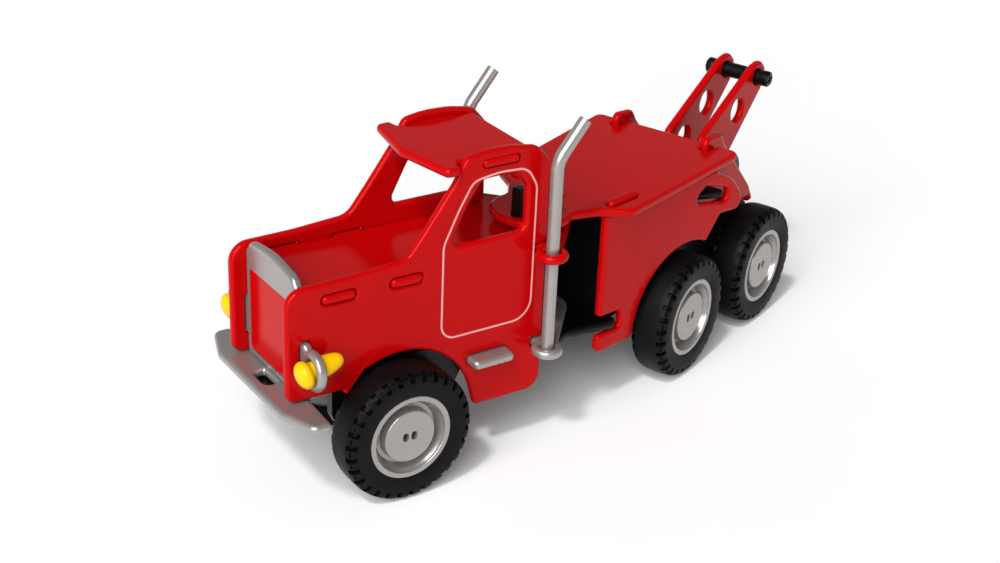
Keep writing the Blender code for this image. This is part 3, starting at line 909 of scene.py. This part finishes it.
def tyre_mesh():
    """A tyre about local Z: a rounded section with notched shoulders and small sipes."""
    middle = (TYRE_IN + TYRE_OUT) / 2
    half_width = (TYRE_OUT - TYRE_IN) / 2
    rise = TYRE_R - TYRE_BELT_R
    squareness = 0.5

    pitch = 360 / LUGS
    cuts = (-2.5, -2.2, 2.2, 2.5, 3.7, 4.0, 8.0, 8.3)
    angles = [lug * pitch + cut for lug in range(LUGS) for cut in cuts]
    rows = [-90, -86, -81, -78, -70, -62, -54, -52, -46, -44, -36, -27, -24, -16, -8]
    rows += [0] + [-row for row in reversed(rows)]

    def depth(row, cut):
        lean = abs(row)
        if abs(cut) < 2.3 and 27 <= lean <= 78:
            return NOTCH_DEEP
        if 3.9 < cut < 8.1 and 46 <= lean <= 52:
            return SIPE_DEEP
        return 0.0

    def section_point(row, sink):
        a = math.radians(row)
        across = math.copysign(abs(math.sin(a)) ** squareness, row) * half_width
        up = abs(math.cos(a)) ** squareness * rise
        lean = Vector((across / half_width**2, up / rise**2)).normalized()
        return TYRE_BELT_R + up - lean.y * sink, middle + across - lean.x * sink

    half_bead = [
        (TYRE_BEAD_R + 2.0, half_width * 0.98), (TYRE_BEAD_R, half_width * 0.93),
        (TYRE_BEAD_R - 0.2, half_width * 0.85),
    ]
    bead = [(radius, middle + out) for radius, out in half_bead]
    bead += [(radius, middle - out) for radius, out in reversed(half_bead)]
    mesh = bmesh.new()
    made = []
    for angle in angles:
        cut = (angle + 3) % pitch - 3
        section = [section_point(row, depth(row, cut)) for row in rows]
        c = math.cos(math.radians(angle)) * MM
        s = math.sin(math.radians(angle)) * MM
        ring = [(radius * c, radius * s, height * MM) for radius, height in [*section, *bead]]
        made.append([mesh.verts.new(point) for point in ring])
    count = len(made[0])
    for i in range(len(made)):
        first, second = made[i - 1], made[i]
        for k in range(count):
            mesh.faces.new((first[k], second[k], second[(k + 1) % count], first[(k + 1) % count]))
    bmesh.ops.recalc_face_normals(mesh, faces=mesh.faces)
    data = bpy.data.meshes.new("tyre")
    mesh.to_mesh(data)
    mesh.free()
    return data


def rim_profile():
    return softened([
        (HUB_HOLE_R, 47.6), (13.9, 47.6), (14.1, 42.0), (16.6, 42.0), (19.3, 47.4), (19.6, 48.7),
        (22.4, 48.7), (22.9, 45.0), (22.9, 31.0), (20.4, 29.6), (AXLE_HOLE_R, 29.6),
        (AXLE_HOLE_R, 40.4), (HUB_HOLE_R, 40.4),
    ], 0.6)


def lens(cx):
    """An eye-shaped hole standing upright."""
    return [(cx + x, y) for x, y in (
        *arc(-2.2, 0, 3.9, -36, 36, 8), *arc(2.2, 0, 3.9, 144, 216, 8)
    )]


def build_wheels():
    tyre = tyre_mesh()
    rim = turned_mesh("rim", rim_profile(), closed=True)
    for axle, place in AXLES.items():
        for name, side in SIDES:
            outward = place @ Matrix.Rotation(side * math.pi / 2, 4, "Y")
            node = f"{axle}_tyre_{name}"
            shown(smooth(linked(node + "_fine", tyre.copy()), 35.0), node, outward)
            node = f"{axle}_rim_{name}"
            shown(smooth(linked(node + "_fine", rim.copy()), 35.0), node, outward)
            face = at(side * HUB_CAP_X, 0, 0) @ UPRIGHT_SIDE
            loops = [circle(0, 0, HUB_HOLE_R, TURN_STEPS), lens(-2.35), lens(2.35)]
            disc = outline_mesh("cap", loops, HUB_CAP_THICK, 0.04, 1)
            cap = linked(f"{axle}_cap_{name}_fine", disc)
            shown(smooth(cap), node, place @ face, stands_for=False)


# ---- Floor, light and camera ----------------------------------------------------------


def build_floor():
    mesh = bmesh.new()
    bmesh.ops.create_grid(mesh, x_segments=8, y_segments=8, size=FLOOR_SIZE / 2)
    data = bpy.data.meshes.new("studio_floor")
    mesh.to_mesh(data)
    mesh.free()
    floor = linked("studio_floor", data)
    nodes = Nodes("floor_paper")
    tone = nodes.ramp(nodes.noise(3.0, 3.0), 0.3, 0.7, (0.86, 0.86, 0.86), (0.88, 0.88, 0.88))
    nodes.link(tone, nodes.shader.inputs["Base Color"])
    nodes.shader.inputs["Roughness"].default_value = 0.9
    data.materials.append(nodes.material)


def sun(name, towards, strength, angle_deg):
    """A broad, distant light that shines from the direction given."""
    data = bpy.data.lights.new(name, "SUN")
    data.energy = strength
    data.angle = math.radians(angle_deg)
    lamp = linked(name, data)
    lamp.rotation_euler = Vector(towards).to_track_quat("Z", "Y").to_euler()


def build_world():
    """An even grey room, paler at the horizon than overhead."""
    world = bpy.data.worlds.new("studio")
    bpy.context.scene.world = world
    world.use_nodes = True
    tree = world.node_tree
    where = tree.nodes.new("ShaderNodeTexCoord")
    split = tree.nodes.new("ShaderNodeSeparateXYZ")
    ramp = tree.nodes.new("ShaderNodeValToRGB")
    ramp.color_ramp.elements[0].position = 0.15
    ramp.color_ramp.elements[0].color = (0.36, 0.36, 0.36, 1)
    ramp.color_ramp.elements[1].position = 0.9
    ramp.color_ramp.elements[1].color = (0.16, 0.16, 0.16, 1)
    tree.links.new(where.outputs["Generated"], split.inputs["Vector"])
    tree.links.new(split.outputs["Z"], ramp.inputs["Fac"])
    tree.links.new(ramp.outputs["Color"], tree.nodes["Background"].inputs["Color"])


def build_camera():
    data = bpy.data.cameras.new("camera")
    data.lens = CAMERA_LENS
    data.sensor_width = 36.0
    data.clip_start = 0.01
    camera = linked("camera", data)
    a = math.radians(CAMERA_AZIMUTH)
    e = math.radians(CAMERA_ELEVATION)
    r = math.radians(CAMERA_ROLL)
    back = Vector((math.sin(a) * math.cos(e), -math.cos(a) * math.cos(e), math.sin(e)))
    level = Vector((math.cos(a), math.sin(a), 0))
    rise = back.cross(level)
    right = level * math.cos(r) + rise * math.sin(r)
    up = rise * math.cos(r) - level * math.sin(r)
    turn = Matrix((right, up, back)).transposed().to_4x4()
    camera.matrix_world = Matrix.Translation(PIN + Vector(CAMERA_FROM_PIN)) @ turn
    bpy.context.scene.camera = camera


def finish_plain_parts():
    """Gives its finish to each CAD part that no finer piece stands in for."""
    for node in BODY_OF:
        part = frame["nodes"][node]
        if not part.hide_render:
            part.data.materials.clear()
            part.data.materials.append(LOOKS[SLOT_OF[node]])


build_cab()
build_rear()
build_boom()
build_wheels()
finish_plain_parts()
build_floor()
build_world()
sun("key", (0.50, -0.70, 0.55), 3.6, 50)
sun("edge", (0.30, -0.50, 0.85), 1.3, 6)
build_camera()
bpy.context.scene.view_settings.view_transform = "Standard"
